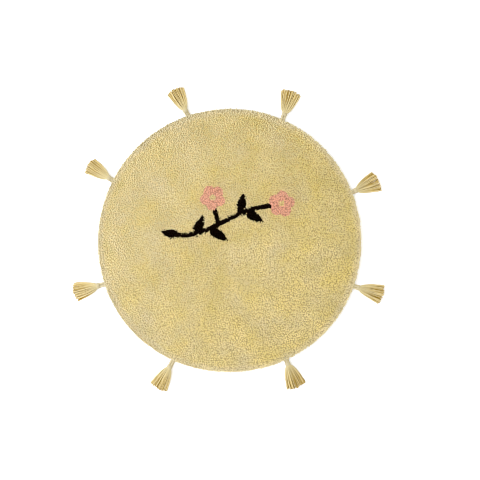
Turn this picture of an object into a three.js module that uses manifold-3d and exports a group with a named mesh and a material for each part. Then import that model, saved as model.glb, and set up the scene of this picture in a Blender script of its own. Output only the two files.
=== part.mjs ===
// Round tufted cotton rug with eight yarn tassels, lying flat.
// Millimetres, +Z up. The origin is the centre of the flat underside, and +Y is the top of the design.
import * as THREE from "three";
import { mergeVertices } from "three/addons/utils/BufferGeometryUtils.js";
import Module from "manifold-3d";

const wasm = await Module();
wasm.setup();

// Driving dimensions

// Clear space between neighbouring pieces.
const gap = 0.3;

// The tufted disc: its pile and backing end in a half-round edge.
const rug = { diameter: 1200, thickness: 15, backing: 3, edgeSteps: 6, segments: 112 };

// A hand-cut edge is a little out of round: crest height and direction of each wave round the edge.
const edgeWaves = [
  { waves: 2, height: 1.2, crest: 42 },
  { waves: 3, height: 1.9, crest: 92 },
  { waves: 4, height: 1.2, crest: 47 },
];

// The dark sprig is a flat stretch of pile, level with the field round it.
const sprig = { lineWidth: 21, lineSteps: 20, leafSteps: 10 };
const stem = { from: [-236, 28], leave: [-96, 6], arrive: [12, 150], to: [196, 160] };
const twig = { startsAt: 0.47, bend: [-62, 116], to: [-72, 160] };

// Leaves along the stem: place on it, turn from its direction, and the size of the leaf.
const leaves = [
  { at: 0.02, turn: 176, length: 84, width: 40 },
  { at: 0.2, turn: 52, length: 92, width: 42 },
  { at: 0.36, turn: -56, length: 98, width: 44 },
  { at: 0.7, turn: 58, length: 94, width: 42 },
  { at: 0.76, turn: -52, length: 90, width: 42 },
];

// Both edges of a leaf are one curve, whose two handles lie at these shares of its length and width.
const leafEdge = { lowAlong: 0.16, lowAcross: 0.72, highAlong: 0.64, highAcross: 0.6 };

// Blossoms are tufted higher than the field and sheared to a low dome.
const blossoms = [
  { name: "blossom_right", centre: [236, 168], reach: 60, turn: 12 },
  { name: "blossom_left", centre: [-76, 196], reach: 58, turn: 48 },
];
const blossom = { petals: 5, notch: 0.24, rise: 6, domeFall: 4, segments: 50 };
const blossomDome = [
  { reach: 1, rise: 0 },
  { reach: 0.93, rise: 0.5 },
  { reach: 0.8, rise: 0.8 },
  { reach: 0.5, rise: 1 },
];
const blossomCentre = { diameter: 28, sink: 2.5, brow: 1, flat: 0.8, segments: 20 };

// Each tassel lies in its own direction: the angles at which it is sewn on and points, how far
// its neck and its ends reach from the edge, and how far its skirt spreads to each side there.
const tassels = [
  { root: 21.7, axis: 25.6, neck: 26, reach: 134, right: 51, left: 46 },
  { root: 66.4, axis: 71.2, neck: 33, reach: 139, right: 45, left: 47 },
  { root: 108.3, axis: 118.4, neck: 32, reach: 137, right: 43, left: 39 },
  { root: 152.7, axis: 145.7, neck: 28, reach: 135, right: 38, left: 43 },
  { root: 199.1, axis: 194, neck: 37, reach: 147, right: 39, left: 46 },
  { root: 244.7, axis: 242, neck: 40, reach: 147, right: 43, left: 41 },
  { root: 295.5, axis: 290.5, neck: 28, reach: 137, right: 43, left: 47 },
  { root: 339.9, axis: 343.3, neck: 29, reach: 141, right: 43, left: 45 },
];
const cord = { width: 22, height: 11.5, lift: 2, sewnIn: 5, sides: 12 };
const wrap = { width: 26, height: 15, length: 15, bulge: 0.14, sides: 12, steps: 4 };
const skirt = { width: 24, flare: 0.58, shoulder: 17, tip: 8, endRound: 0.075, sides: 16, steps: 8 };

// The rings of a skirt lie closer together near its neck, where its outline turns most.
const ringCrowding = 1.4;

// Share of a lying bundle's half height below which its underside is pressed flat.
const pressedFlat = 0.7;

// Cotton yarns: tufted pile is fully matt, and the smoother tassel yarn a little less so.
const cotton = {
  strawPile: { color: "rgb(214, 194, 135)", roughness: 1 },
  blackPile: { color: "rgb(24, 16, 15)", roughness: 1 },
  pinkPile: { color: "rgb(221, 158, 132)", roughness: 1 },
  creamYarn: { color: "rgb(224, 208, 166)", roughness: 0.95 },
  goldYarn: { color: "rgb(206, 186, 128)", roughness: 0.95 },
};

const toRadians = (degrees) => (degrees * Math.PI) / 180;

// Solids

function cottonMesh(name, geometry, finish) {
  const mesh = new THREE.Mesh(geometry, new THREE.MeshStandardMaterial({ ...finish, metalness: 0 }));
  mesh.name = name;
  return mesh;
}

function toManifold(geometry) {
  const bare = geometry.clone();
  bare.deleteAttribute("normal");
  bare.deleteAttribute("uv");
  const merged = mergeVertices(bare, 1e-4);
  const solid = new wasm.Mesh({
    numProp: 3,
    vertProperties: new Float32Array(merged.attributes.position.array),
    triVerts: new Uint32Array(merged.index.array),
  });
  return new wasm.Manifold(solid);
}

function fromManifold(solid) {
  const mesh = solid.getMesh();
  const geometry = new THREE.BufferGeometry();
  geometry.setAttribute("position", new THREE.BufferAttribute(mesh.vertProperties, 3));
  geometry.setIndex(new THREE.BufferAttribute(mesh.triVerts, 1));
  geometry.computeVertexNormals();
  return geometry;
}

// A turned solid about +Z whose radius is stretched by direction, for near-round outlines.
function turnedWithOutline(profile, segments, stretch) {
  const points = profile.map(([radius, height]) => new THREE.Vector2(radius, height));
  const geometry = new THREE.LatheGeometry(points, segments);
  geometry.rotateX(Math.PI / 2);
  const position = geometry.attributes.position;
  for (let i = 0; i < position.count; i += 1) {
    const factor = stretch(Math.atan2(position.getY(i), position.getX(i)));
    position.setX(i, position.getX(i) * factor);
    position.setY(i, position.getY(i) * factor);
  }
  return geometry;
}

// A closed skin over a row of rings that all have the same number of points.
function skinOver(rings) {
  const sides = rings[0].length;
  const corners = rings.flat();
  const faces = [];
  for (let i = 0; i + 1 < rings.length; i += 1) {
    for (let j = 0; j < sides; j += 1) {
      const a = i * sides + j;
      const b = i * sides + ((j + 1) % sides);
      faces.push(a, b, b + sides, a, b + sides, a + sides);
    }
  }
  const middle = (ring) => ring.reduce((sum, p) => sum.add(p), new THREE.Vector3()).divideScalar(sides);
  const first = corners.push(middle(rings[0])) - 1;
  const last = corners.push(middle(rings[rings.length - 1])) - 1;
  const lastRing = (rings.length - 1) * sides;
  for (let j = 0; j < sides; j += 1) {
    const next = (j + 1) % sides;
    faces.push(first, next, j);
    faces.push(last, lastRing + j, lastRing + next);
  }
  const geometry = new THREE.BufferGeometry().setFromPoints(corners);
  geometry.setIndex(faces);
  geometry.computeVertexNormals();
  return geometry;
}

// Height of a point on a lying bundle: round above, pressed flat below.
function lyingHeight(angle, base, height) {
  const rise = Math.sin(angle);
  const half = height / 2;
  return rise >= 0 ? base + half + half * rise : base + half - half * Math.min(1, -rise / pressedFlat);
}

// Rug body

function edgeRadius(angle) {
  const swell = ({ waves, height, crest }) => height * Math.cos(waves * (angle - toRadians(crest)));
  return rug.diameter / 2 + edgeWaves.reduce((sum, wave) => sum + swell(wave), 0);
}

// The disc, larger all over by grow, so that the same function gives the space round it.
function discGeometry(grow) {
  const radius = rug.diameter / 2;
  const half = rug.thickness / 2;
  const profile = [[0, -grow]];
  for (let i = 0; i <= rug.edgeSteps; i += 1) {
    const turn = (Math.PI * i) / rug.edgeSteps - Math.PI / 2;
    const reach = radius - half + (half + grow) * Math.cos(turn);
    profile.push([reach, half + (half + grow) * Math.sin(turn)]);
  }
  profile.push([0, rug.thickness + grow]);
  return turnedWithOutline(profile, rug.segments, (angle) => edgeRadius(angle) / radius);
}

// Sprig

const stemCurve = new THREE.CubicBezierCurve(
  new THREE.Vector2(...stem.from),
  new THREE.Vector2(...stem.leave),
  new THREE.Vector2(...stem.arrive),
  new THREE.Vector2(...stem.to),
);

const twigCurve = new THREE.QuadraticBezierCurve(
  stemCurve.getPoint(twig.startsAt),
  new THREE.Vector2(...twig.bend),
  new THREE.Vector2(...twig.to),
);

function prism(outline, bottom, top) {
  const geometry = new THREE.ExtrudeGeometry(new THREE.Shape(outline), {
    depth: top - bottom,
    bevelEnabled: false,
  });
  geometry.translate(0, 0, bottom);
  return toManifold(geometry);
}

// A line of even width along a flat curve, with round ends, as an anticlockwise outline.
function lineOutline(curve) {
  const offset = (share, turn) => {
    const across = curve.getTangent(share).rotateAround(new THREE.Vector2(), toRadians(turn));
    return across.multiplyScalar(sprig.lineWidth / 2).add(curve.getPoint(share));
  };
  const right = [];
  const left = [];
  for (let i = 0; i <= sprig.lineSteps; i += 1) {
    right.push(offset(i / sprig.lineSteps, -90));
    left.unshift(offset(i / sprig.lineSteps, 90));
  }
  const farEnd = [-45, 0, 45].map((turn) => offset(1, turn));
  const nearEnd = [135, 180, 225].map((turn) => offset(0, turn));
  return [...right, ...farEnd, ...left, ...nearEnd];
}

// A pointed leaf that leaves the stem at a slant, as an anticlockwise outline.
function leafOutline({ at, turn, length, width }) {
  const base = stemCurve.getPoint(at);
  const heading = stemCurve.getTangent(at).angle() + toRadians(turn);
  const edge = new THREE.CubicBezierCurve(
    new THREE.Vector2(0, 0),
    new THREE.Vector2(length * leafEdge.lowAlong, width * leafEdge.lowAcross),
    new THREE.Vector2(length * leafEdge.highAlong, width * leafEdge.highAcross),
    new THREE.Vector2(length, 0),
  ).getPoints(sprig.leafSteps);
  const right = edge.map(({ x, y }) => new THREE.Vector2(x, -y));
  const left = edge.slice(1, -1).reverse();
  const place = (point) => point.rotateAround(new THREE.Vector2(), heading).add(base);
  return [...right, ...left].map(place);
}

// An anticlockwise outline with every edge moved outward by grow.
function grownOutline(outline, grow) {
  const count = outline.length;
  return outline.map((corner, i) => {
    const arriving = corner.clone().sub(outline[(i + count - 1) % count]).normalize();
    const leaving = outline[(i + 1) % count].clone().sub(corner).normalize();
    const edgeNormal = new THREE.Vector2(leaving.y, -leaving.x);
    const outward = new THREE.Vector2(arriving.y, -arriving.x).add(edgeNormal).normalize();
    return corner.clone().addScaledVector(outward, grow / outward.dot(edgeNormal));
  });
}

// Stem, twig and leaves as one stretch of pile, larger all round by grow.
function sprigSolid(grow, bottom, top) {
  const outlines = [lineOutline(stemCurve), lineOutline(twigCurve), ...leaves.map(leafOutline)];
  return outlines
    .map((outline) => prism(grownOutline(outline, grow), bottom, top))
    .reduce((sum, part) => sum.add(part));
}

// Blossoms

function petalStretch(turn) {
  const lobe = (angle) => Math.abs(Math.cos((blossom.petals / 2) * (angle - toRadians(turn))));
  return (angle) => 1 - blossom.notch * (1 - lobe(angle));
}

function blossomSolid({ centre, reach, turn }, grow, bottom, top) {
  const radius = reach + grow / (1 - blossom.notch);
  const brow = top - blossom.domeFall;
  const dome = blossomDome.map((ring) => [radius * ring.reach, brow + blossom.domeFall * ring.rise]);
  const profile = [[0, bottom], [radius, bottom], ...dome, [0, top]];
  const geometry = turnedWithOutline(profile, blossom.segments, petalStretch(turn));
  geometry.translate(centre[0], centre[1], 0);
  return toManifold(geometry);
}

function centreSolid({ centre }, grow, bottom, top) {
  const radius = blossomCentre.diameter / 2 + grow;
  const side = [[radius, bottom], [radius, top - blossomCentre.brow]];
  const profile = [[0, bottom], ...side, [radius * blossomCentre.flat, top], [0, top]];
  const geometry = turnedWithOutline(profile, blossomCentre.segments, () => 1);
  geometry.translate(centre[0], centre[1], 0);
  return toManifold(geometry);
}

// Tassel, drawn along +X from the place where it meets the rug's edge, its underside at height 0.

// The wrap ends just short of the skirt, which starts at the end of the neck.
function wrapStart(neck) {
  return neck - gap - wrap.length;
}

function cordGeometry({ neck }) {
  const end = wrapStart(neck) - gap;
  const ring = (along) => {
    const points = [];
    for (let j = 0; j < cord.sides; j += 1) {
      const angle = (2 * Math.PI * j) / cord.sides;
      const across = (cord.width / 2) * Math.cos(angle);
      points.push(new THREE.Vector3(along, across, lyingHeight(angle, cord.lift, cord.height)));
    }
    return points;
  };
  return skinOver([ring(-cord.sewnIn), ring(end / 2), ring(end)]);
}

function wrapGeometry({ neck }) {
  const start = wrapStart(neck);
  const rings = [];
  for (let i = 0; i <= wrap.steps; i += 1) {
    const share = i / wrap.steps;
    const size = 1 - wrap.bulge * (2 * share - 1) ** 2;
    const points = [];
    for (let j = 0; j < wrap.sides; j += 1) {
      const angle = (2 * Math.PI * j) / wrap.sides;
      const across = (wrap.width / 2) * size * Math.cos(angle);
      const height = lyingHeight(angle, 0, wrap.height * size);
      points.push(new THREE.Vector3(start + share * wrap.length, across, height));
    }
    rings.push(points);
  }
  return skinOver(rings);
}

// The skirt leaves the wrap narrow, swells to its shoulders and then fans slowly.
function skirtGeometry({ neck, reach, right, left }) {
  const halfNeck = skirt.width / 2;
  const rings = [];
  for (let i = 0; i <= skirt.steps; i += 1) {
    const share = (i / skirt.steps) ** ringCrowding;
    const swell = share ** skirt.flare;
    const height = skirt.shoulder + (skirt.tip - skirt.shoulder) * share;
    const points = [];
    for (let j = 0; j < skirt.sides; j += 1) {
      const angle = (2 * Math.PI * j) / skirt.sides;
      const side = Math.cos(angle);
      const spread = side > 0 ? left : right;
      const end = reach * (1 - skirt.endRound * side * side);
      const along = neck + (end - neck) * share;
      const across = side * (halfNeck + (spread - halfNeck) * swell);
      points.push(new THREE.Vector3(along, across, lyingHeight(angle, 0, height)));
    }
    rings.push(points);
  }
  return skinOver(rings);
}

// Object

const object = new THREE.Group();

const floorOfPile = rug.backing;
const topOfPile = rug.thickness;
const topOfBlossom = rug.thickness + blossom.rise;
const clearTop = topOfBlossom + gap;
const footOfInlay = floorOfPile + gap;

// The field pile leaves room for the dark sprig and the blossoms, down to the backing.
let body = toManifold(discGeometry(0)).subtract(sprigSolid(gap, floorOfPile, clearTop));
let darkPile = sprigSolid(0, footOfInlay, topOfPile);
for (const flower of blossoms) {
  const room = blossomSolid(flower, gap, floorOfPile, clearTop);
  body = body.subtract(room);
  darkPile = darkPile.subtract(room);
}
object.add(cottonMesh("rug_body", fromManifold(body), cotton.strawPile));
object.add(cottonMesh("sprig", fromManifold(darkPile), cotton.blackPile));

for (const flower of blossoms) {
  const topOfCentre = topOfBlossom - blossomCentre.sink;
  const roomForCentre = centreSolid(flower, gap, 0, topOfBlossom + rug.thickness);
  const petals = blossomSolid(flower, 0, footOfInlay, topOfBlossom).subtract(roomForCentre);
  const centre = centreSolid(flower, 0, footOfInlay, topOfCentre);
  object.add(cottonMesh(flower.name, fromManifold(petals), cotton.pinkPile));
  object.add(cottonMesh(`${flower.name}_centre`, fromManifold(centre), cotton.strawPile));
}

const spaceForBody = toManifold(discGeometry(gap));
tassels.forEach((tassel, index) => {
  const root = toRadians(tassel.root);
  const reach = edgeRadius(root);
  const group = new THREE.Group();
  group.position.set(reach * Math.cos(root), reach * Math.sin(root), 0);
  group.rotation.z = toRadians(tassel.axis);
  group.updateMatrix();

  // The cord is trimmed where it meets the rug's rounded edge.
  const placedCord = toManifold(cordGeometry(tassel).applyMatrix4(group.matrix)).subtract(spaceForBody);
  const name = `tassel_${index + 1}`;
  object.add(cottonMesh(`${name}_cord`, fromManifold(placedCord), cotton.creamYarn));
  group.add(cottonMesh(`${name}_wrap`, wrapGeometry(tassel), cotton.creamYarn));
  group.add(cottonMesh(`${name}_skirt`, skirtGeometry(tassel), cotton.goldYarn));
  object.add(group);
});

export default object;
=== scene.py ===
# %% [markdown]
# # A round tufted rug with eight tassels
#
# Such a rug is made by hand: cotton yarn is punched through a round backing cloth, cut, and left to
# curl, so that the whole top is a thick pile of small comma-shaped ends. Here a sprig is tufted in
# black yarn and two blossoms in pink, and eight tassels are sewn to the edge.
#
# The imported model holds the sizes. This script keeps them and makes the surfaces: every tuft, every
# strand of every tassel, and the finish of each yarn.

# %% Load the frame
import math
import random
from collections import namedtuple

import bmesh
import bpy
import numpy as np
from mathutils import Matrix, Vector


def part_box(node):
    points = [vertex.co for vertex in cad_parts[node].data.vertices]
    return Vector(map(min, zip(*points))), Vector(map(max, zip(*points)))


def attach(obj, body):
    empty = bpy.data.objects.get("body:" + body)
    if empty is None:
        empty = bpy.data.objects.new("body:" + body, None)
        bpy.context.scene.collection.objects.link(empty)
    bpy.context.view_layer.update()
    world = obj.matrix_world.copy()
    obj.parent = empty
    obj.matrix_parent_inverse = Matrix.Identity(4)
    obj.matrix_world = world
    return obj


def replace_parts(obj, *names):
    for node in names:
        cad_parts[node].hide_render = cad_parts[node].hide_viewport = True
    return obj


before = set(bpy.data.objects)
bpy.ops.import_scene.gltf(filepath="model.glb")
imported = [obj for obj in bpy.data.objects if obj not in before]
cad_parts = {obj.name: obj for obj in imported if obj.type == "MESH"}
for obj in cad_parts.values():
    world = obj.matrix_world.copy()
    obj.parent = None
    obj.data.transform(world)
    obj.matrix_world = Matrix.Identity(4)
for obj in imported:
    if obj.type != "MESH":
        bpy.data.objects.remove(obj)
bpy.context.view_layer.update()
scene = bpy.context.scene
millimetre = 0.001
print("nodes in the frame:", len(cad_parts))

# %% [markdown]
# ## Camera
#
# The rug is seen exactly from above. A long lens far away keeps the outline free of perspective, so
# the circle stays a circle and the thickness of the edge hardly shows. The rug lies a little left of
# the middle of the frame, so the camera stands a little right of its centre.

# %% Camera
frame_width = 2.182
lens = 85
camera_x = 0.0475
camera_y = 0.0041


def placed(name, data):
    """Puts an object into the scene."""
    made = bpy.data.objects.new(name, data)
    scene.collection.objects.link(made)
    return made


camera_data = bpy.data.cameras.new("camera")
camera_data.lens = lens
camera_height = frame_width * lens / camera_data.sensor_width
camera = placed("camera", camera_data)
camera.location = (camera_x, camera_y, camera_height)
bpy.context.scene.camera = camera
print("camera height in metres:", round(camera_height, 3))

# %% [markdown]
# ## Light
#
# The photograph has soft light and a white ground, almost as bright as paper can be. A warm white sky
# gives the even part. One large, soft lamp on the left gives the pile its relief: each curl is a little
# brighter on that side. The plain view transform keeps yarn colours as mixed, and a narrow pixel filter
# keeps the grain of the pile crisp.

# %% Light
sky_colour = (1, 0.985, 0.93, 1)
sky_strength = 1.06
lamp_place = Vector((-5.0, -0.4, 3.95))
lamp_size = 3.6
lamp_power = 360
lamp_colour = (0.92, 0.97, 1.2)

scene.view_settings.view_transform = "Standard"
scene.cycles.filter_width = 1.0

sky = bpy.data.worlds.new("sky")
sky.use_nodes = True
background = sky.node_tree.nodes["Background"]
background.inputs["Color"].default_value = sky_colour
background.inputs["Strength"].default_value = sky_strength
scene.world = sky

lamp_data = bpy.data.lights.new("key_lamp", "AREA")
lamp_data.shape = "DISK"
lamp_data.size = lamp_size
lamp_data.energy = lamp_power
lamp_data.color = lamp_colour
lamp = placed("key_lamp", lamp_data)
lamp.location = lamp_place
lamp.rotation_euler = (-lamp_place).to_track_quat("-Z", "Y").to_euler()
print("metres from the lamp to the rug:", round(lamp_place.length, 2))

# %% [markdown]
# ## Writing node trees as sentences
#
# A node tree is easier to read as an expression than as a list of links. `Signal` stands for one
# socket, and arithmetic on it adds Math nodes. `Graph.node` makes any other node: its type, its
# settings, and what goes into its sockets.

# %% Signal


class Signal:
    """An output socket that adds Math nodes when it is used in an expression."""

    def __init__(self, graph, socket):
        self.graph = graph
        self.socket = socket

    def beside(self, name):
        """Another output of the same node."""
        outputs = [s for s in self.socket.node.outputs if s.enabled and s.name == name]
        return Signal(self.graph, outputs[0])

    def maths(self, operation, *terms):
        return self.graph.node("ShaderNodeMath", {"operation": operation}, dict(enumerate(terms)))

    def __add__(self, other):
        return self.maths("ADD", self, other)

    def __radd__(self, other):
        return self.maths("ADD", other, self)

    def __sub__(self, other):
        return self.maths("SUBTRACT", self, other)

    def __rsub__(self, other):
        return self.maths("SUBTRACT", other, self)

    def __mul__(self, other):
        return self.maths("MULTIPLY", self, other)

    def __rmul__(self, other):
        return self.maths("MULTIPLY", other, self)

    def __truediv__(self, other):
        return self.maths("DIVIDE", self, other)

    def __rtruediv__(self, other):
        return self.maths("DIVIDE", other, self)

    def __pow__(self, other):
        return self.maths("POWER", self, other)

    def __lt__(self, other):
        return self.maths("LESS_THAN", self, other)

    def at_least(self, other):
        return self.maths("MAXIMUM", self, other)

    def sine(self):
        return self.maths("SINE", self)

    def cosine(self):
        return self.maths("COSINE", self)


# %% Graph


class Graph:
    """A node tree that is written as calls and expressions."""

    def __init__(self, tree):
        self.tree = tree

    def node(self, kind, settings=None, sockets=None):
        """Adds a node and returns its first output. Settings go in before sockets."""
        made = self.tree.nodes.new(kind)
        for setting, value in (settings or {}).items():
            setattr(made, setting, value)
        for key, value in (sockets or {}).items():
            self.feed(made, key, value)
        return Signal(self, next(socket for socket in made.outputs if socket.enabled))

    def feed(self, made, key, value):
        live = [socket for socket in made.inputs if socket.enabled]
        socket = live[key] if isinstance(key, int) else next(s for s in live if s.name == key)
        if isinstance(value, Signal):
            self.tree.links.new(value.socket, socket)
        else:
            socket.default_value = (*value, 1) if socket.type == "RGBA" else value

    def vector_maths(self, operation, *terms):
        return self.node("ShaderNodeVectorMath", {"operation": operation}, dict(enumerate(terms)))

    def parts(self, vector):
        """The X of a vector. Its Y and Z are beside it."""
        return self.node("ShaderNodeSeparateXYZ", {}, {0: vector})


# %% Trees that make meshes


def geometry_tree(name, inputs):
    """A Geometry Nodes tree with a Geometry input, the named inputs, and one Geometry output."""
    tree = bpy.data.node_groups.new(name, "GeometryNodeTree")
    tree.interface.new_socket(name="Geometry", in_out="INPUT", socket_type="NodeSocketGeometry")
    for label, kind in inputs.items():
        tree.interface.new_socket(name=label, in_out="INPUT", socket_type="NodeSocket" + kind)
    tree.interface.new_socket(name="Geometry", in_out="OUTPUT", socket_type="NodeSocketGeometry")
    graph = Graph(tree)
    entry = tree.nodes.new("NodeGroupInput")
    given = {s.name: Signal(graph, s) for s in entry.outputs if s.name}
    return graph, given, tree.nodes.new("NodeGroupOutput")


def finished_tree(graph, given, leave, geometry):
    """Makes instances real, lifts what would be below the floor onto it, and dyes the yarn."""
    real = graph.node("GeometryNodeRealizeInstances", {}, {"Geometry": geometry})
    spot = graph.parts(graph.node("GeometryNodeInputPosition"))
    lifted = graph.node("ShaderNodeCombineXYZ", {}, {
        "X": spot, "Y": spot.beside("Y"), "Z": spot.beside("Z").at_least(given["Floor"])})
    laid = graph.node("GeometryNodeSetPosition", {}, {"Geometry": real, "Position": lifted})
    dyed = graph.node("GeometryNodeSetMaterial", {}, {"Geometry": laid, "Material": given["Yarn"]})
    graph.tree.links.new(dyed.socket, leave.inputs[0])
    return graph.tree


def grown_mesh(source, tree, inputs, name):
    """Runs a tree on an object and returns a plain mesh. The modifier is taken off again."""
    modifier = source.modifiers.new("making", "NODES")
    modifier.node_group = tree
    identifiers = {i.name: i.identifier for i in tree.interface.items_tree if i.in_out == "INPUT"}
    for label, value in inputs.items():
        modifier[identifiers[label]] = value
    graph = bpy.context.evaluated_depsgraph_get()
    mesh = bpy.data.meshes.new_from_object(source.evaluated_get(graph), depsgraph=graph)
    mesh.name = name
    source.modifiers.remove(modifier)
    return mesh


def triangles(mesh):
    return sum(len(face.vertices) - 2 for face in mesh.polygons)


# %% [markdown]
# ## Cotton
#
# All yarns here are cotton: fully matt, with a faint glow where loose fibres catch light at the rim of
# each strand, which the shader calls sheen. What differs is colour, and how it changes from the root
# of a strand to its tip. Four values travel with each mesh: `rise` goes from 0 at the root to 1 at the
# tip, `run` is the same way in metres, `round` points outwards all round the strand, and `shade` is
# one random number for each tuft or strand.

# %% A matt cotton shader


def finish(name, values):
    """A material and its Principled shader, with values on the shader's own sockets."""
    material = bpy.data.materials.new(name)
    material.use_nodes = True
    shader = material.node_tree.nodes["Principled BSDF"]
    for socket, value in values.items():
        shader.inputs[socket].default_value = value
    return material, shader


def cotton(name, sheen, shine=0.2):
    """A matt material, its graph and its shader."""
    material, shader = finish(name, {"Roughness": 1, "Specular IOR Level": shine,
                                     "Sheen Weight": sheen, "Sheen Roughness": 0.5})
    return material, Graph(material.node_tree), shader


def carried(graph, name):
    """A value that the mesh carries."""
    return graph.node("ShaderNodeAttribute", {"attribute_type": "GEOMETRY", "attribute_name": name})


def carried_number(graph, name):
    return carried(graph, name).beside("Fac")


def object_place(graph):
    return graph.node("ShaderNodeTexCoord").beside("Object")


def noise(graph, place, scale, detail=2, roughness=0.5):
    sockets = {"Vector": place, "Scale": scale, "Detail": detail, "Roughness": roughness}
    return graph.node("ShaderNodeTexNoise", {}, sockets)


def blend_colours(graph, factor, low, high):
    return graph.node("ShaderNodeMix", {"data_type": "RGBA"}, {"Factor": factor, "A": low, "B": high})


def lit(graph, colour, amount):
    """A colour times a number, through Vector Math, which keeps it a colour."""
    return graph.vector_maths("SCALE", colour, amount)


def roughen(graph, shader, height, distance, strength=1.0):
    sockets = {"Height": height, "Distance": distance, "Strength": strength}
    graph.feed(shader, "Normal", graph.node("ShaderNodeBump", {}, sockets))


# %% [markdown]
# ## Twist
#
# Yarn is two thin plies twisted round each other. Their ridges wind round a strand: the height at a
# point depends on the way round and the way along, which `round` and `run` give. Each strand starts at
# a twist of its own. Fine noise over the ridges is the fibres.

# %% Twist
fibre_scale = 1600
twist_spread = 40


def yarn_twist(graph, pitch):
    """Two ridges that wind round a strand once in a pitch."""
    cosine = graph.parts(graph.vector_maths("NORMALIZE", carried(graph, "round").beside("Vector")))
    sine = cosine.beside("Y")
    start = carried_number(graph, "shade") * twist_spread
    winding = carried_number(graph, "run") * (2 * math.pi / pitch) + start
    return 2 * sine * cosine * winding.cosine() + (cosine * cosine - sine * sine) * winding.sine()


def twist(graph, shader, pitch, fuzz, height, strength):
    """Gives a yarn its relief: ridges, and `fuzz` times as much of fibres."""
    fibres = noise(graph, object_place(graph), fibre_scale, detail=1)
    roughen(graph, shader, yarn_twist(graph, pitch) + fibres * fuzz, height, strength)


# %% [markdown]
# ## Pile yarn
#
# A curl is painted warmer and darker down in the pile, for the shade there and the colour that light
# picks up between strands, and it is palest at its cut tip. Yarn fades with use in soft patches. To the
# left it is painted paler, for the light from that side, and it is painted darker to the right. At the
# rim a painted paler, greyer shade stands for the edge curving away. Wide patches also differ in
# brightness, because the pile has been brushed and folded. To the upper left the pile lies smoother, and
# its tips are painted a little darker and its feet a little lighter: a painted evening of light and shade.

# %% How a place on the rug fades, and where light and shade are painted on it
rim_start = 0.565
rim_width = 0.035
fade_scale = 7
fade_contrast = 2
fade_start = 0.5
# Paler to the left: painted light, as from a lamp on that side.
painted_light_to_left = 0.3
# Paler and greyer at the rim: painted shade where the rounded edge curves away.
painted_rim_paling = 0.9


def painted_shade_evening(graph, place, by_metre):
    """How much the pile's light and shade are painted evener than in the middle of the rug. It grows to
    the upper left.
    """
    eastward = graph.parts(place)
    return (eastward.beside("Y") - eastward) * by_metre


def rim_share(graph, place):
    """0 on the field, and from there up to 1 at the edge of the rug."""
    reach = graph.vector_maths("LENGTH", place).beside("Value")
    return ((reach - rim_start) / rim_width).at_least(0)


def fade_and_painted_light(graph, place):
    """Fade in patches, plus painted paling to the left and at the rim: 0 or less for none, 1 or more for
    full.
    """
    patches = noise(graph, place, fade_scale, detail=5, roughness=0.62) * fade_contrast - fade_start
    return patches - graph.parts(place) * painted_light_to_left + rim_share(graph, place) * painted_rim_paling


# %% Curls and the feet between them
tip_power = 0.7
patch_scale = 9
# Darker to the right: painted shade, for light from the left.
painted_eastward_shade = 0.042
# Darker at the very rim: painted shade on the edge curving down.
painted_rim_shade = 0.1
pile_pitch = 7 * millimetre
foot_size = 4.6 * millimetre
foot_relief = 4 * millimetre
# Feet are painted darker between their heads and lighter on them: painted shade.
painted_shade_between_heads = 0.5
painted_light_on_heads = 0.75


def pile_yarn(name, fresh, faded_and_lit, variety, patchiness, shade_evening=0.0, sheen=0.25, shine=0.2):
    """What curls are made of. Single tufts differ by `variety`, and wide patches by `patchiness`."""
    material, graph, shader = cotton(name, sheen, shine)
    place = object_place(graph)
    height = carried_number(graph, "rise") ** tip_power
    fade_and_light = fade_and_painted_light(graph, place)
    root = blend_colours(graph, fade_and_light, fresh.root, faded_and_lit.root)
    tip = blend_colours(graph, fade_and_light, fresh.tip, faded_and_lit.tip)
    patches = noise(graph, place, patch_scale, detail=4, roughness=0.55) - 0.5
    light = 1 + (carried_number(graph, "shade") - 0.5) * variety + patches * patchiness
    # Painted shade: darker to the right and at the very rim.
    light = light - graph.parts(place) * painted_eastward_shade - rim_share(graph, place) ** 3 * painted_rim_shade
    # Tips painted a little darker to the upper left: a painted evening of light and shade.
    light = light * (1 - painted_shade_evening(graph, place, shade_evening) * height)
    graph.feed(shader, "Base Color", lit(graph, blend_colours(graph, height, root, tip), light))
    twist(graph, shader, pile_pitch, 0.6, 0.35 * millimetre, 0.8)
    return material


def pile_feet(name, fresh, faded_and_lit, shade_evening=0.0, sheen=0.1, shine=0.2):
    """What shows between the curls: the dense feet of the yarn, painted darker between their heads as
    shade.
    """
    material, graph, shader = cotton(name, sheen, shine)
    place = object_place(graph)
    cells = {"Vector": place, "Scale": 1 / foot_size, "Randomness": 1.0}
    heads = 1 - graph.node("ShaderNodeTexVoronoi", {"feature": "F1"}, cells)
    colour = blend_colours(graph, fade_and_painted_light(graph, place), fresh.feet, faded_and_lit.feet)
    # Feet painted lighter to the upper left, evening out their painted shade.
    light = (painted_shade_between_heads + heads * painted_light_on_heads) * (1 + painted_shade_evening(graph, place, shade_evening))
    graph.feed(shader, "Base Color", lit(graph, colour, light))
    roughen(graph, shader, heads, foot_relief)
    return material


# %% Pile yarn colours, with painted shade at roots and feet
# Roots and feet are darker and warmer than tips: painted shade down in the pile.
DyeAndShade = namedtuple("DyeAndShade", "feet root tip")
straw = DyeAndShade((0.668, 0.50, 0.152), (0.685, 0.53, 0.165), (0.726, 0.602, 0.203))
# Paler colours, for real fading in patches and for painted light to the left and at the rim.
faded_and_lit_straw = DyeAndShade((0.668, 0.54, 0.29), (0.685, 0.545, 0.255), (0.726, 0.635, 0.37))
pink = DyeAndShade((0.58, 0.263, 0.168), (0.668, 0.307, 0.193), (0.83, 0.423, 0.273))
faded_and_lit_pink = DyeAndShade(pink.feet, pink.root, (0.83, 0.461, 0.315))
black = DyeAndShade((0.002, 0.001, 0.0006), (0.002, 0.001, 0.0005), (0.0045, 0.0016, 0.0008))
faded_and_lit_black = DyeAndShade(black.feet, black.root, (0.005, 0.002, 0.001))

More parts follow.
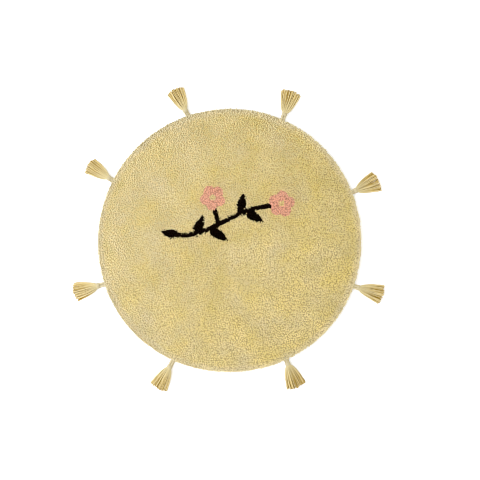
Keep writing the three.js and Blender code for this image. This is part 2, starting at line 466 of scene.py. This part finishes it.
straw_pile = pile_yarn("straw_pile_yarn", straw, faded_and_lit_straw, 0.05, 0.52, shade_evening=0.24)
black_pile = pile_yarn("black_pile_yarn", black, faded_and_lit_black, 0.5, 0.1, sheen=0.0, shine=0.0)
pink_pile = pile_yarn("pink_pile_yarn", pink, faded_and_lit_pink, 0.2, 0.3)
straw_feet = pile_feet("straw_pile_feet", straw, faded_and_lit_straw, shade_evening=0.12)
black_feet = pile_feet("black_pile_feet", black, faded_and_lit_black, sheen=0.0, shine=0.0)
pink_feet = pile_feet("pink_pile_feet", pink, faded_and_lit_pink)
print("pile yarns:", straw_pile.name, black_pile.name, pink_pile.name)

# %% [markdown]
# ## Curls
#
# One tuft end is a short piece of yarn that stands up from the backing, then bows over and curls. Eight
# different curls are enough, because each copy is turned, leant and sized by chance. A curl has only
# thirty triangles, as there are many thousands of them. Each one is a tube swept along a path that is
# stepped out like a walk: at every step the heading tips further over and swings a little round.

# %% The path of a curl
curl_spans = 3
steps_in_span = 8
upright_tips = (5, 20)
curled_tips = (85, 150)
swings = (40, 190)
tip_delay = 1.4
swing_delay = 1.5


def curl_path(chance):
    """Points and headings of a curl of length 1 that starts at the origin."""
    start_tip = math.radians(chance.uniform(*upright_tips))
    end_tip = math.radians(chance.uniform(*curled_tips))
    swing = math.radians(chance.uniform(*swings)) * chance.choice((-1, 1))
    steps = curl_spans * steps_in_span
    point = Vector((0, 0, 0))
    points = [point.copy()]
    headings = []
    for step in range(steps):
        share = (step + 0.5) / steps
        tip = start_tip + (end_tip - start_tip) * share ** tip_delay
        turn = swing * share ** swing_delay
        sideways = math.sin(tip)
        heading = Vector((sideways * math.cos(turn), sideways * math.sin(turn), math.cos(tip)))
        point = point + heading / steps
        if step % steps_in_span == steps_in_span // 2:
            headings.append(heading)
        if step % steps_in_span == steps_in_span - 1:
            points.append(point.copy())
    return points, headings


# %% The mesh of a curl
pile_depth = 6.5 * millimetre
root_depth = 1.0 * millimetre
yarn_radius = 2.5 * millimetre
curl_sides = 4
thickness_along = (0.85, 1.05, 1.05, 0.75)


def curl_rings(points, headings, size):
    """A ring of corners round each point, carried along the path without spinning."""
    across = Vector((1, 0, 0))
    rings = []
    for i, point in enumerate(points):
        heading = (headings[max(i - 1, 0)] + headings[min(i, len(headings) - 1)]).normalized()
        across = (across - heading * across.dot(heading)).normalized()
        up = heading.cross(across)
        radius = yarn_radius * thickness_along[i]
        ring = []
        for side in range(curl_sides):
            angle = 2 * math.pi * side / curl_sides
            around = Vector((math.cos(angle), math.sin(angle), 0))
            ring.append((point * size + across * radius * around.x + up * radius * around.y, around))
        rings.append(ring)
    return rings


def curl_mesh(name, chance):
    """A closed curl. Its highest point is one pile depth above the backing."""
    points, headings = curl_path(chance)
    size = (pile_depth + root_depth - yarn_radius) / max(point.z for point in points)
    mesh = bmesh.new()
    rise = mesh.verts.layers.float.new("rise")
    run = mesh.verts.layers.float.new("run")
    around = mesh.verts.layers.float_vector.new("round")

    def corner(place, share, direction):
        made = mesh.verts.new(place)
        made[rise] = share
        made[run] = size * share
        made[around] = direction
        return made

    loops = []
    for i, ring in enumerate(curl_rings(points, headings, size)):
        loops.append([corner(place, i / curl_spans, direction) for place, direction in ring])
    end = corner(points[-1] * size + headings[-1] * yarn_radius / 2, 1, (0, 0, 0))
    mesh.faces.new(reversed(loops[0]))
    for low, high in zip(loops, loops[1:]):
        for side in range(curl_sides):
            following = (side + 1) % curl_sides
            mesh.faces.new((low[side], low[following], high[following], high[side]))
    for side in range(curl_sides):
        mesh.faces.new((loops[-1][side], loops[-1][(side + 1) % curl_sides], end))
    for face in mesh.faces:
        face.smooth = True
    return plain_mesh(mesh, name)


def plain_mesh(mesh, name):
    """Turns a bmesh into a mesh and lets go of it."""
    made = bpy.data.meshes.new(name)
    mesh.to_mesh(made)
    mesh.free()
    return made


# %% Make eight curls
curl_kinds = 8
curls = bpy.data.collections.new("curls")
chance = random.Random(11)
for kind in range(curl_kinds):
    curl = bpy.data.objects.new(f"curl_{kind}", curl_mesh(f"curl_{kind}", chance))
    curls.objects.link(curl)

# %% [markdown]
# ## A flat map of every strand
#
# To bake looks into pictures, each piece needs a flat map. Here every curl and strand is unrolled into
# a cell of its own, picked by its number: across is the way round it, up is the way along it, and its
# cut ends lie in narrow strips below and above. A long strand takes a cell for each turn.

# %% Unroll strands
cell_gap = 0.06
root_strip = 0.08
tip_strip = 0.2
end_fill = 0.4
over_half_round = 0.51
no_rise = 1e-5


def read_all(items, name, kind=float, width=1):
    values = np.empty(len(items) * width, dtype=kind)
    items.foreach_get(name, values)
    return values


class Corners:
    """What a mesh carries, read at every corner of every face."""

    def __init__(self, mesh):
        self.carried = mesh.attributes
        self.points = read_all(mesh.loops, "vertex_index", np.int32)
        self.starts = read_all(mesh.polygons, "loop_start", np.int32)
        self.sizes = read_all(mesh.polygons, "loop_total", np.int32)

    def number(self, name):
        return read_all(self.carried[name].data, "value")[self.points]

    def vector(self, name):
        values = read_all(self.carried[name].data, "vector", width=3)
        return values.reshape(-1, 3)[self.points].T

    def least(self, values):
        """The least of a face's values, for each of its corners."""
        return np.repeat(np.minimum.reduceat(values, self.starts), self.sizes)

    def most(self, values):
        return np.repeat(np.maximum.reduceat(values, self.starts), self.sizes)


def unroll(mesh, columns=None, turns=1):
    """Adds a flat map with a cell for each strand, or for each turn of a long one."""
    corners = Corners(mesh)
    strand = corners.number("strand")
    rise = corners.number("rise")
    round_x, round_y, _ = corners.vector("round")

    turn = np.round(np.arctan2(round_y, round_x) / (2 * math.pi), 5) % 1
    closes_ring = corners.most(turn) - corners.least(turn) > over_half_round
    turn += closes_ring * (turn < 0.5)
    is_end = corners.most(rise) - corners.least(rise) < no_rise
    way = rise * turns
    lap = np.ceil((corners.least(way) + corners.most(way)) / 2) - 1
    lap = lap.clip(0, turns - 1)
    way -= lap

    is_tip = way > 0.5
    strip = np.where(is_tip, tip_strip, root_strip)
    strip_middle = np.where(is_tip, 1 - tip_strip / 2, root_strip / 2)
    wide = 1 - 2 * cell_gap
    tall = 1 - root_strip - tip_strip
    right = np.where(is_end, 0.5 + round_x * wide / 2, cell_gap + turn * wide)
    up = np.where(is_end, strip_middle + round_y * strip * end_fill, root_strip + way * tall)

    cell = np.round(strand) * turns + lap
    cells = cell.max() + 1
    columns = columns or math.ceil(math.sqrt(cells))
    rows = math.ceil(cells / columns)
    spots = np.stack([(cell % columns + right) / columns, (cell // columns + up) / rows], axis=1)
    mesh.uv_layers.new(name="OFBake").uv.foreach_set("vector", spots.astype(np.float32).ravel())


# %% [markdown]
# ## Tufting
#
# The tree spreads points over a skin, no two nearer than the spacing, and sets a random curl on each
# one, upright on the skin and then leant over. Roots start below the skin, so that the tips reach it.
# Real tufts gather in clumps: the tufts of each cell of a Voronoi pattern nod towards its middle, and
# those in the middle are taller. What would end below the floor is laid on it. The same tree tufts
# every colour.

# %% Tufting tree
tuft_inputs = {"Curls": "Collection", "Spacing": "Float", "Root depth": "Float", "Lean": "Float",
               "Smallest": "Float", "Largest": "Float", "Clump": "Float", "Clump lean": "Float",
               "Clump height": "Float", "From": "Float", "To": "Float", "Floor": "Float",
               "Seed": "Int", "Yarn": "Material"}
crowding = 8
clump_randomness = 0.85
clump_middle = 0.38


def rotated(graph, start, x, y, z, space="LOCAL"):
    angles = graph.node("ShaderNodeCombineXYZ", {}, {"X": x, "Y": y, "Z": z})
    turn = graph.node("FunctionNodeEulerToRotation", {}, {"Euler": angles})
    return graph.node("FunctionNodeRotateRotation", {"rotation_space": space},
                      {"Rotation": start, "Rotate By": turn})


def stored(graph, geometry, name, value, kind="FLOAT", domain="POINT"):
    return graph.node("GeometryNodeStoreNamedAttribute", {"data_type": kind, "domain": domain},
                      {"Geometry": geometry, "Name": name, "Value": value})


def tufting_tree():
    graph, given, leave = geometry_tree("tufting", tuft_inputs)
    place = graph.node("GeometryNodeInputPosition")

    def by_chance(kind, low, high, stream):
        sockets = {"Min": low, "Max": high, "Seed": given["Seed"] + stream}
        return graph.node("FunctionNodeRandomValue", {"data_type": kind}, sockets)

    densest = crowding / (given["Spacing"] * given["Spacing"])
    points = graph.node("GeometryNodeDistributePointsOnFaces", {"distribute_method": "POISSON"}, {
        "Mesh": given["Geometry"], "Distance Min": given["Spacing"], "Density Max": densest,
        "Seed": given["Seed"]})
    northward = graph.parts(place).beside("Y")
    outside = (northward < given["From"]) + (given["To"] < northward)
    kept = graph.node("GeometryNodeDeleteGeometry", {"domain": "POINT"},
                      {"Geometry": points, "Selection": outside})
    inward = graph.vector_maths("SCALE", points.beside("Normal"), 0 - given["Root depth"])
    rooted = graph.node("GeometryNodeSetPosition", {}, {"Geometry": kept, "Offset": inward})

    lean = given["Lean"]
    leant = rotated(graph, points.beside("Rotation"), by_chance("FLOAT", 0 - lean, lean, 1),
                    by_chance("FLOAT", 0 - lean, lean, 2), 0.0)
    turned = rotated(graph, leant, 0.0, 0.0, by_chance("FLOAT", 0.0, 2 * math.pi, 3))
    clump = graph.node("ShaderNodeTexVoronoi", {"voronoi_dimensions": "2D", "feature": "F1"},
                       {"Scale": 1 / given["Clump"], "Randomness": clump_randomness})
    inwards = graph.parts(graph.vector_maths("SUBTRACT", clump.beside("Position"), place))
    together = given["Clump lean"] / given["Clump"]
    turned = rotated(graph, turned, 0 - inwards.beside("Y") * together, inwards * together, 0.0, "GLOBAL")
    taller = (clump_middle - clump) * given["Clump height"]

    shapes = graph.node("GeometryNodeCollectionInfo", {}, {
        "Collection": given["Curls"], "Separate Children": True, "Reset Children": True})
    tufts = graph.node("GeometryNodeInstanceOnPoints", {}, {
        "Points": rooted, "Instance": shapes, "Pick Instance": True,
        "Instance Index": by_chance("INT", 0, curl_kinds - 1, 4), "Rotation": turned,
        "Scale": by_chance("FLOAT", given["Smallest"], given["Largest"], 5) + taller})
    tufts = stored(graph, tufts, "shade", by_chance("FLOAT", 0.0, 1.0, 6), domain="INSTANCE")
    tufts = stored(graph, tufts, "strand", graph.node("GeometryNodeInputIndex"), domain="INSTANCE")
    return finished_tree(graph, given, leave, tufts)


tufting = tufting_tree()
print("nodes in the tufting tree:", len(tufting.nodes))

# %% [markdown]
# ## Skins
#
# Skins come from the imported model: its pieces have the true outlines, so yarn goes on their top faces.
# The field also keeps the upper part of its rounded edge, where tufts point outward and soften the
# rug's outline.

# %% Skins
rug_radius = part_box("rug_body")[1].x
edge_band = 15 * millimetre
flat_enough = 0.3
lowest_tufted_slope = -0.3
weld_distance = 0.01 * millimetre


def merged_copy(node):
    """A copy of a node's mesh with its loose triangles joined."""
    mesh = bmesh.new()
    mesh.from_mesh(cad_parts[node].data)
    bmesh.ops.remove_doubles(mesh, verts=mesh.verts, dist=weld_distance)
    return mesh


def is_at_edge(place):
    return math.hypot(place.x, place.y) > rug_radius - edge_band


def is_tufted(face, top):
    middle = face.calc_center_median()
    if is_at_edge(middle):
        return face.normal.z > lowest_tufted_slope
    return face.normal.z > flat_enough and middle.z > top / 2


def skin_object(node):
    """The faces of a node that carry tufts, as an object of their own."""
    mesh = merged_copy(node)
    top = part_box(node)[1].z
    bare = [face for face in mesh.faces if not is_tufted(face, top)]
    bmesh.ops.delete(mesh, geom=bare, context="FACES")
    return placed(node + "_skin", plain_mesh(mesh, node + "_skin"))


print("radius of the rug in metres:", round(rug_radius, 4))

# %% [markdown]
# ## Piles
#
# The field has too many tufts for one mesh, so it is tufted in five bands of much the same size, from
# front to back. Their borders are given along Y, in shares of the rug's radius. All bands use the same
# points, so no seam shows between them.

# %% Piles
whole = (-2, 2)
even_bands = (-2, -0.492, -0.158, 0.158, 0.492, 2)
floor_clearance = 0.3 * millimetre
tuft_sizes = {"Root depth": pile_depth + root_depth, "Smallest": 0.9, "Largest": 1.12,
              "Clump": 9.5 * millimetre, "Clump lean": 0.6, "Clump height": 0.2,
              "Floor": floor_clearance}


def piece(name, mesh):
    """Puts a finished mesh into the scene as a piece of the rug."""
    made = placed(name, mesh)
    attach(made, "root")
    return made


def tufted(name, node, yarn, seed, spacing, borders=whole, lean=0.4):
    """Tufts a node's skin all over and returns the piles, one for each band between two borders."""
    skin = skin_object(node)
    piles = []
    for low, high in zip(borders, borders[1:]):
        inputs = {**tuft_sizes, "Curls": curls, "Spacing": spacing, "Lean": lean, "Seed": seed,
                  "From": low * rug_radius, "To": high * rug_radius, "Yarn": yarn}
        part = name if borders == whole else f"{name}_{len(piles) + 1}"
        mesh = grown_mesh(skin, tufting, inputs, part)
        unroll(mesh)
        piles.append(piece(part, mesh))
        print(part, "triangles:", triangles(mesh))
    bpy.data.objects.remove(skin)
    return piles


# %% [markdown]
# ## Grounds
#
# Below each pile lies the ground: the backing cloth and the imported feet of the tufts. It is the packed
# piece itself with its top lowered, so that pockets and outlines still fit. The pile is less deep to
# the upper left, where it lies smoother, so the ground is a little higher there and lower opposite.
# The round edge is drawn in, behind the tufts of the edge. Its underside is plain canvas.

# %% Canvas
thread_pitch = 3.2 * millimetre
slub_scale = 120
canvas_gap = (0.62, 0.54, 0.40)
canvas_thread = (0.74, 0.67, 0.52)


def canvas(name):
    """Natural cotton canvas under the rug: a plain weave of threads over and under each other."""
    material, graph, shader = cotton(name, 0.1)
    eastward = graph.parts(object_place(graph))
    thread = 2 * math.pi / thread_pitch
    weave = (eastward * thread).sine() * (eastward.beside("Y") * thread).sine()
    slubs = noise(graph, object_place(graph), slub_scale)
    colour = blend_colours(graph, weave * 0.5 + 0.5, canvas_gap, canvas_thread)
    graph.feed(shader, "Base Color", lit(graph, colour, 0.9 + slubs * 0.2))
    roughen(graph, shader, weave + slubs, 0.5 * millimetre, 0.7)
    return material


canvas_backing = canvas("canvas_backing")
print("underside:", canvas_backing.name)

# %% Grounds
edge_drawn_in = 5 * millimetre
ground_depth = 5.7 * millimetre
ground_slope = 1.8 * millimetre
downward = -0.9
near_floor = 0.1 * millimetre


def is_underside(face):
    return face.normal.z < downward and face.calc_center_median().z < near_floor


def ground(name, node, feet, underside=None):
    """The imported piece, lowered. Its underside can have a finish of its own."""
    mesh = merged_copy(node)
    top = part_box(node)[1].z
    for vert in mesh.verts:
        depth = ground_depth - ground_slope * (vert.co.y - vert.co.x)
        if is_at_edge(vert.co):
            reach = math.hypot(vert.co.x, vert.co.y)
            vert.co.xy *= (reach - edge_drawn_in) / reach
        vert.co.z *= (top - depth) / top
    mesh.normal_update()
    for face in mesh.faces:
        face.material_index = int(underside is not None and is_underside(face))
    made = plain_mesh(mesh, name)
    made.materials.append(feet)
    if underside:
        made.materials.append(underside)
    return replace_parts(piece(name, made), node)


# %% [markdown]
# ## The field, the sprig and the blossoms
#
# The sprig's lines are narrow, so its yarn stands closer and straighter and its edges stay sharp. The
# blossoms stand a little higher than the field, and each has a small round centre of straw yarn.

# %% Make the field, the sprig and the blossoms
field_ground = ground("rug_ground", "rug_body", straw_feet, canvas_backing)
rug_pieces = tufted("field_pile", "rug_body", straw_pile, 5, 5.05 * millimetre, even_bands)

rug_pieces.append(ground("sprig_ground", "sprig", black_feet))
rug_pieces += tufted("sprig_pile", "sprig", black_pile, 6, 4.4 * millimetre, lean=0.15)
for blossom in ("blossom_right", "blossom_left"):
    centre = blossom + "_centre"
    rug_pieces.append(ground(blossom + "_ground", blossom, pink_feet))
    rug_pieces += tufted(blossom + "_pile", blossom, pink_pile, 7, 5.2 * millimetre)
    rug_pieces.append(ground(centre + "_ground", centre, straw_feet))
    rug_pieces += tufted(centre + "_pile", centre, straw_pile, 8, 5.2 * millimetre)

# %% [markdown]
# ## Spinning
#
# A tassel is a bundle of yarn folded over the rug's edge, bound round its neck, and cut. One tree spins
# all of its strands: it takes lines of points, sweeps a round section along them, and gives each point
# the strand's own thickness.

# %% Spinning tree
spin_inputs = {"Sides": "Int", "Floor": "Float", "Yarn": "Material"}


def spinning_tree():
    graph, given, leave = geometry_tree("spinning", spin_inputs)
    lines = graph.node("GeometryNodeMeshToCurve", {}, {"Mesh": given["Geometry"]})
    lines = stored(graph, lines, "run", graph.node("GeometryNodeSplineParameter").beside("Length"))
    sizes = {"Resolution": given["Sides"], "Radius": 1.0}
    circle = graph.node("GeometryNodeCurvePrimitiveCircle", {}, sizes)
    circle = stored(graph, circle, "round", graph.node("GeometryNodeInputPosition"), "FLOAT_VECTOR")
    thickness = graph.node("GeometryNodeInputNamedAttribute", {}, {"Name": "thickness"})
    strands = graph.node("GeometryNodeCurveToMesh", {}, {
        "Curve": lines, "Profile Curve": circle, "Scale": thickness, "Fill Caps": True})
    smooth = graph.node("GeometryNodeSetShadeSmooth", {}, {"Geometry": strands, "Shade Smooth": True})
    return finished_tree(graph, given, leave, smooth)


spinning = spinning_tree()
print("nodes in the spinning tree:", len(spinning.nodes))

# %% Spin strands


def spun(name, strands, yarn, columns, turns, sides):
    """Spins strands into one mesh. A strand is its shade and a list of (place, thickness, rise)."""
    rows = []
    for strand, (shade, points) in enumerate(strands):
        rows += [(place, thickness, rise, shade, strand) for place, thickness, rise in points]
    places, *numbers = zip(*rows)
    strand_of = numbers[-1]
    edges = [(i, i + 1) for i in range(len(rows) - 1) if strand_of[i] == strand_of[i + 1]]
    lines = bpy.data.meshes.new(name + "_lines")
    lines.from_pydata(places, edges, [])
    for label, values in zip(("thickness", "rise", "shade", "strand"), numbers):
        lines.attributes.new(label, "FLOAT", "POINT").data.foreach_set("value", values)
    source = placed(name + "_lines", lines)
    mesh = grown_mesh(source, spinning, {"Sides": sides, "Floor": floor_clearance, "Yarn": yarn}, name)
    bpy.data.objects.remove(source)
    unroll(mesh, columns, turns)
    return mesh


# %% [markdown]
# ## Tassels
#
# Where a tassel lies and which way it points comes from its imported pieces. The wrap is a short barrel:
# seen from above, its corners spread least along the tassel's own direction. From there the skirt's
# reach and its two outer corners are measured.

# %% Measure the tassels


class Tassel:
    """A tassel's own frame: along it from the start of the wrap, across it to the left, and up."""

    def __init__(self, number):
        self.name = f"tassel_{number}"
        wrap = self.corners("wrap")
        skirt = self.corners("skirt")
        middle = wrap[:, :2].mean(0)
        along = np.linalg.eigh(np.cov((wrap[:, :2] - middle).T))[1][:, 0]
        if along @ (skirt[:, :2].mean(0) - middle) < 0:
            along = -along
        self.along = Vector((along[0], along[1], 0)).normalized()
        self.across = Vector((0, 0, 1)).cross(self.along)
        self.start = Vector((middle[0], middle[1], 0))
        self.wrap_length, self.wrap_width, self.wrap_height = np.ptp(self.local(wrap), axis=0)
        self.start -= self.along * self.wrap_length / 2
        skirt = self.local(skirt)
        cord = self.local(self.corners("cord"))
        self.cord_back = cord[:, 0].min()
        self.cord_width = np.ptp(cord[:, 1])
        self.reach = skirt[:, 0].max()
        self.left = skirt[skirt[:, 1].argmax()]
        self.right = skirt[skirt[:, 1].argmin()]

    def corners(self, part):
        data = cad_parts[f"{self.name}_{part}"].data
        return np.array([vert.co for vert in data.vertices])

    def local(self, corners):
        moved = corners - np.array(self.start)
        along = moved @ np.array(self.along)
        across = moved @ np.array(self.across)
        return np.stack([along, across, corners[:, 2]], axis=1)

    def place(self, along, across, up):
        return self.start + self.along * along + self.across * across + Vector((0, 0, up))


tassels = [Tassel(number) for number in range(1, 9)]
for tassel in tassels:
    width = tassel.left[1] - tassel.right[1]
    print(tassel.name, "reach", round(tassel.reach, 4), "width", round(width, 4))

# %% [markdown]
# Tassel yarn is the same cotton, combed straight. It is cream at the neck and more golden along the
# skirt, some strands far more than others, partly by their own tone and partly by painted shadow.

# %% Tassel yarn
tassel_sheen = 0.12
tassel_pitch = 5.5 * millimetre
gold_start = 0.1
gold_growth = 1.7


def tassel_yarn(name, neck, deep, pale):
    """Starts in the neck's colour. Along the skirt a strand's shade, its tone and painted shadow, sets how
    deep its gold is.
    """
    material, graph, shader = cotton(name, tassel_sheen)
    skirt = blend_colours(graph, carried_number(graph, "shade"), deep, pale)
    golden = carried_number(graph, "rise") * gold_growth - gold_start
    graph.feed(shader, "Base Color", blend_colours(graph, golden, neck, skirt))
    twist(graph, shader, tassel_pitch, 0.5, 0.3 * millimetre, 1.0)
    return material


cream_yarn = tassel_yarn("cream_tassel_yarn", (0.57, 0.49, 0.295), (0.43, 0.35, 0.18), (0.68, 0.60, 0.385))
gold_yarn = tassel_yarn("gold_tassel_yarn", (0.63, 0.53, 0.275), (0.405, 0.238, 0.003),
                        (0.735, 0.594, 0.278))
print("tassel yarns:", cream_yarn.name, gold_yarn.name)

# %% [markdown]
# The head of a tassel is two rows of thick yarn from inside the rug's edge into the wrap. The wrap is
# one yarn wound round them, fuller in the middle. No strand is quite straight, so each gets waves of
# its own, drawn by chance within limits.

# %% Cord and wrap
Wave = namedtuple("Wave", "smallest largest slowest fastest")
cord_sway = Wave(0.3, 0.7, 4, 8)
cord_bend = Wave(0.2, 0.6, 3, 6)
cord_radius = 2.3 * millimetre
cord_rows = (5, 4)
cord_points = 10
cord_hidden = 10 * millimetre
first_lift = 2.2
row_lift = 1.5
wrap_turns = 6
wrap_steps = 18
wrap_bulge = 0.14
wrap_fullness = 1.08


def wave(chance, limits):
    """A wave that grows from the neck to the end of a strand."""
    size = chance.uniform(limits.smallest, limits.largest) * millimetre
    speed = chance.uniform(limits.slowest, limits.fastest)
    start = chance.uniform(0, 2 * math.pi)
    return lambda share: size * share * math.sin(speed * share + start)


def cord_strands(tassel, chance):
    """The folded head: two rows of thick yarns from inside the rug's edge into the wrap."""
    back = tassel.cord_back - cord_hidden
    front = tassel.wrap_length / 3
    spacing = (tassel.cord_width - 2 * cord_radius) / (cord_rows[0] - 1)
    strands = []
    for row, count in enumerate(cord_rows):
        for i in range(count):
            across = (i - (count - 1) / 2) * spacing
            lift = (first_lift + row * row_lift) * cord_radius
            sway = wave(chance, cord_sway)
            bend = wave(chance, cord_bend)
            points = []
            for step in range(cord_points + 1):
                share = step / cord_points
                along = back + (front - back) * share
                place = tassel.place(along, across + sway(share), lift + bend(share))
                points.append((place, cord_radius, share))
            strands.append((chance.random(), points))
    return strands


def wrap_strands(tassel):
    """One yarn wound round the neck, turn beside turn."""
    radius = tassel.wrap_length / wrap_turns / 2
    points = []
    for i in range(wrap_turns * wrap_steps + 1):
        share = i / (wrap_turns * wrap_steps)
        angle = 2 * math.pi * i / wrap_steps
        size = 1 - wrap_bulge * (2 * share - 1) ** 2
        half_width = tassel.wrap_width / 2 * size - radius
        half_height = tassel.wrap_height / 2 * size - radius
        up = radius + half_height + half_height * math.sin(angle)
        along = radius + share * (tassel.wrap_length - 2 * radius)
        place = tassel.place(along, half_width * math.cos(angle), up)
        points.append((place, radius * wrap_fullness, share))
    return [(0.5, points)]


# %% [markdown]
# ## Skirts
#
# A skirt is three layers of strands, each heading for its own place along the cut end. Handled yarn
# doesn't hang evenly: a few sine waves across the skirt say where it parts and where it crowds, and
# where it crowds it lies higher, while where it parts its strands are painted darker, as shadow. The
# lowest layer stays even, so that no floor shows through, and is painted darker, as shadow under the
# rest. Strands also fall into locks that share a length and a shade, partly their own tone and partly
# painted shadow, as darker locks lie lower. The ends are ragged, and a few strands stray.

# %% How a skirt parts and falls into locks
fewest_locks = 13
most_locks = 17
parting_waves = ((6, 9, 0.3), (14, 19, 0.45), (23, 30, 0.6))
bow_speed = 5
bow_drift = 3


class Locks:
    """How the yarn of one skirt parts and bows, and the shades and lengths of its locks."""

    def __init__(self, chance):
        self.waves = []
        for slowest, fastest, strength in parting_waves:
            speed = chance.uniform(slowest, fastest)
            steepness = strength * chance.uniform(0.7, 1.3)
            self.waves.append((steepness / speed, speed, chance.uniform(0, 2 * math.pi)))
        count = chance.randint(fewest_locks, most_locks)
        # Lock shades: partly the yarn's own tone, partly painted shadow, as darker locks lie lower.
        self.shades = [0.5 + 0.5 * (-1) ** lock * chance.uniform(0.2, 1) for lock in range(count)]
        self.lengths = [chance.random() for _ in range(count)]
        self.bow_size = chance.uniform(0.5, 2.0) * millimetre
        self.bow_start = chance.uniform(0, 2 * math.pi)

    def shift(self, side):
        """How far a strand is drawn sideways, from its place across."""
        return sum(size * math.sin(speed * side + start) for size, speed, start in self.waves)

    def parted(self, side):
        """How strongly strands part there. They crowd where it is below 0."""
        return sum(size * speed * math.cos(speed * side + start) for size, speed, start in self.waves)

    def at(self, side):
        return min(int((side + 1) / 2 * len(self.shades)), len(self.shades) - 1)

    def bow(self, side, share):
        return self.bow_size * share * math.sin(bow_speed * share + bow_drift * side + self.bow_start)


# %% Strands of a skirt
SkirtLayer = namedtuple("SkirtLayer", "count neck_height end_height deepest palest parted")
# Lower layers take darker shades: painted shadow under the strands above.
skirt_layers = (
    SkirtLayer(38, 3.5 * millimetre, 1.5 * millimetre, 0.0, 0.3, 0.0),
    SkirtLayer(34, 8.0 * millimetre, 4.2 * millimetre, 0.2, 0.9, 1.0),
    SkirtLayer(29, 12.5 * millimetre, 7.0 * millimetre, 0.5, 1.2, 1.3),
)
skirt_kinks = Wave(0.3, 1.1, 10, 22)
skirt_sway = Wave(0.2, 1.2, 3, 7)
skirt_lift = Wave(0.3, 1.0, 5, 14)
strand_radius = 1.25 * millimetre
skirt_spans = 14
span_crowding = 1.25
uneven = 0.4
neck_hidden = 5 * millimetre
neck_roundness = 0.7
neck_pinch = 0.66
neck_release = 3
skirt_flare = 0.58
end_roundness = 0.45
ragged = 8 * millimetre
lock_ragged = 6 * millimetre
lock_height = 1.6 * millimetre
lock_contrast = 0.9
painted_shadow_in_partings = 0.12
crowd_height = 2.5 * millimetre
stray_share = 0.08
stray_turn = 0.16


def strand_end(tassel, layer, locks, side, chance):
    """Where a strand is cut: along, across and up. Returns its lock as well."""
    end_side = side + locks.shift(side) * layer.parted * (1 - side ** 2)
    if layer.parted and chance.random() < stray_share:
        end_side += chance.uniform(-stray_turn, stray_turn)
    end_side = max(-1, min(1, end_side))
    lock = locks.at(end_side)
    corner = tassel.left if end_side > 0 else tassel.right
    along = tassel.reach - (tassel.reach - corner[0]) * end_side ** 2
    along += millimetre - ragged * chance.random() ** 2 - lock_ragged * locks.lengths[lock] ** 2
    crowded = max(0, -locks.parted(side)) * layer.parted * chance.random()
    up = layer.end_height * (1 - end_roundness * end_side ** 2) + crowded * crowd_height
    up += layer.parted * locks.shades[lock] * lock_height
    return (along, abs(end_side) * corner[1], up), lock


def strand_points(tassel, layer, locks, side, end, chance):
    """The way of a strand from inside the wrap, round its neck, to the cut end."""
    end_along, end_across, end_up = end
    half_wrap = tassel.wrap_height / 2
    neck_along = tassel.wrap_length - neck_hidden
    neck_across = side * (tassel.wrap_width / 2 * (1 - wrap_bulge) - strand_radius)
    neck_up = half_wrap + (layer.neck_height - half_wrap) * (1 - neck_roundness * side ** 2)
    kinks = wave(chance, skirt_kinks)
    sway = wave(chance, skirt_sway)
    lift = wave(chance, skirt_lift)
    points = []
    for step in range(skirt_spans + 1):
        share = (step / skirt_spans) ** span_crowding
        along = neck_along + (end_along - neck_along) * share
        beyond = max(0, (along - tassel.wrap_length) / (end_along - tassel.wrap_length))
        across = neck_across + (end_across - neck_across) * beyond ** skirt_flare
        across += locks.bow(side, share)
        across += kinks(share) + sway(share)
        up = neck_up + (end_up - neck_up) * (1 - (1 - share) ** 2) + lift(share)
        pinch = neck_pinch + (1 - neck_pinch) * min(1, neck_release * share)
        points.append((tassel.place(along, across, up), strand_radius * pinch, share))
    return points


def skirt_strands(tassel, chance):
    """Cut yarn that swells from the wrap and falls to the floor in loose, wavy locks."""
    locks = Locks(chance)
    strands = []
    for layer in skirt_layers:
        for i in range(layer.count):
            side = (2 * (i + 0.5) / layer.count - 1) + chance.uniform(-uneven, uneven) / layer.count
            end, lock = strand_end(tassel, layer, locks, side, chance)
            points = strand_points(tassel, layer, locks, side, end, chance)
            # Darker where the skirt parts: painted shadow in the gaps.
            shade = chance.uniform(layer.deepest, layer.palest) - painted_shadow_in_partings * locks.parted(side)
            shade += (locks.shades[lock] - 0.5) * lock_contrast
            strands.append((shade, points))
    return strands


# %% [markdown]
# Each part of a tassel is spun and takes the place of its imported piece. A skirt's strands are long and
# thin, so its flat map has few rows and many columns.

# %% Make the tassels
skirt_sides = 5
skirt_columns = 34


def fitted(node, strands, yarn, columns, turns=1, sides=6):
    """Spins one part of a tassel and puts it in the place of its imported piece."""
    mesh = spun(node + "_yarn", strands, yarn, columns, turns, sides)
    print(node, "triangles:", triangles(mesh))
    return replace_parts(piece(node + "_yarn", mesh), node)


chance = random.Random(23)
for tassel in tassels:
    rug_pieces += [
        fitted(tassel.name + "_cord", cord_strands(tassel, chance), cream_yarn,
               sum(cord_rows)),
        fitted(tassel.name + "_wrap", wrap_strands(tassel), cream_yarn, wrap_turns,
               wrap_turns),
        fitted(tassel.name + "_skirt", skirt_strands(tassel, chance), gold_yarn,
               skirt_columns, sides=skirt_sides),
    ]

# %% [markdown]
# ## The floor
#
# Every piece of the rug hangs on one root. The floor isn't part of the rug. It glows very faintly,
# so that it comes out as pale as the photograph's ground.

floor_half_width = 30
floor_looks = {"Base Color": (0.97, 0.97, 0.97, 1), "Roughness": 0.9,
               "Emission Color": (1, 1, 1, 1), "Emission Strength": 0.1}

floor_mesh = bmesh.new()
bmesh.ops.create_grid(floor_mesh, x_segments=1, y_segments=1, size=floor_half_width)
floor = placed("floor", plain_mesh(floor_mesh, "floor"))
floor.location.z = -floor_clearance
floor.data.materials.append(finish("floor_paint", floor_looks)[0])
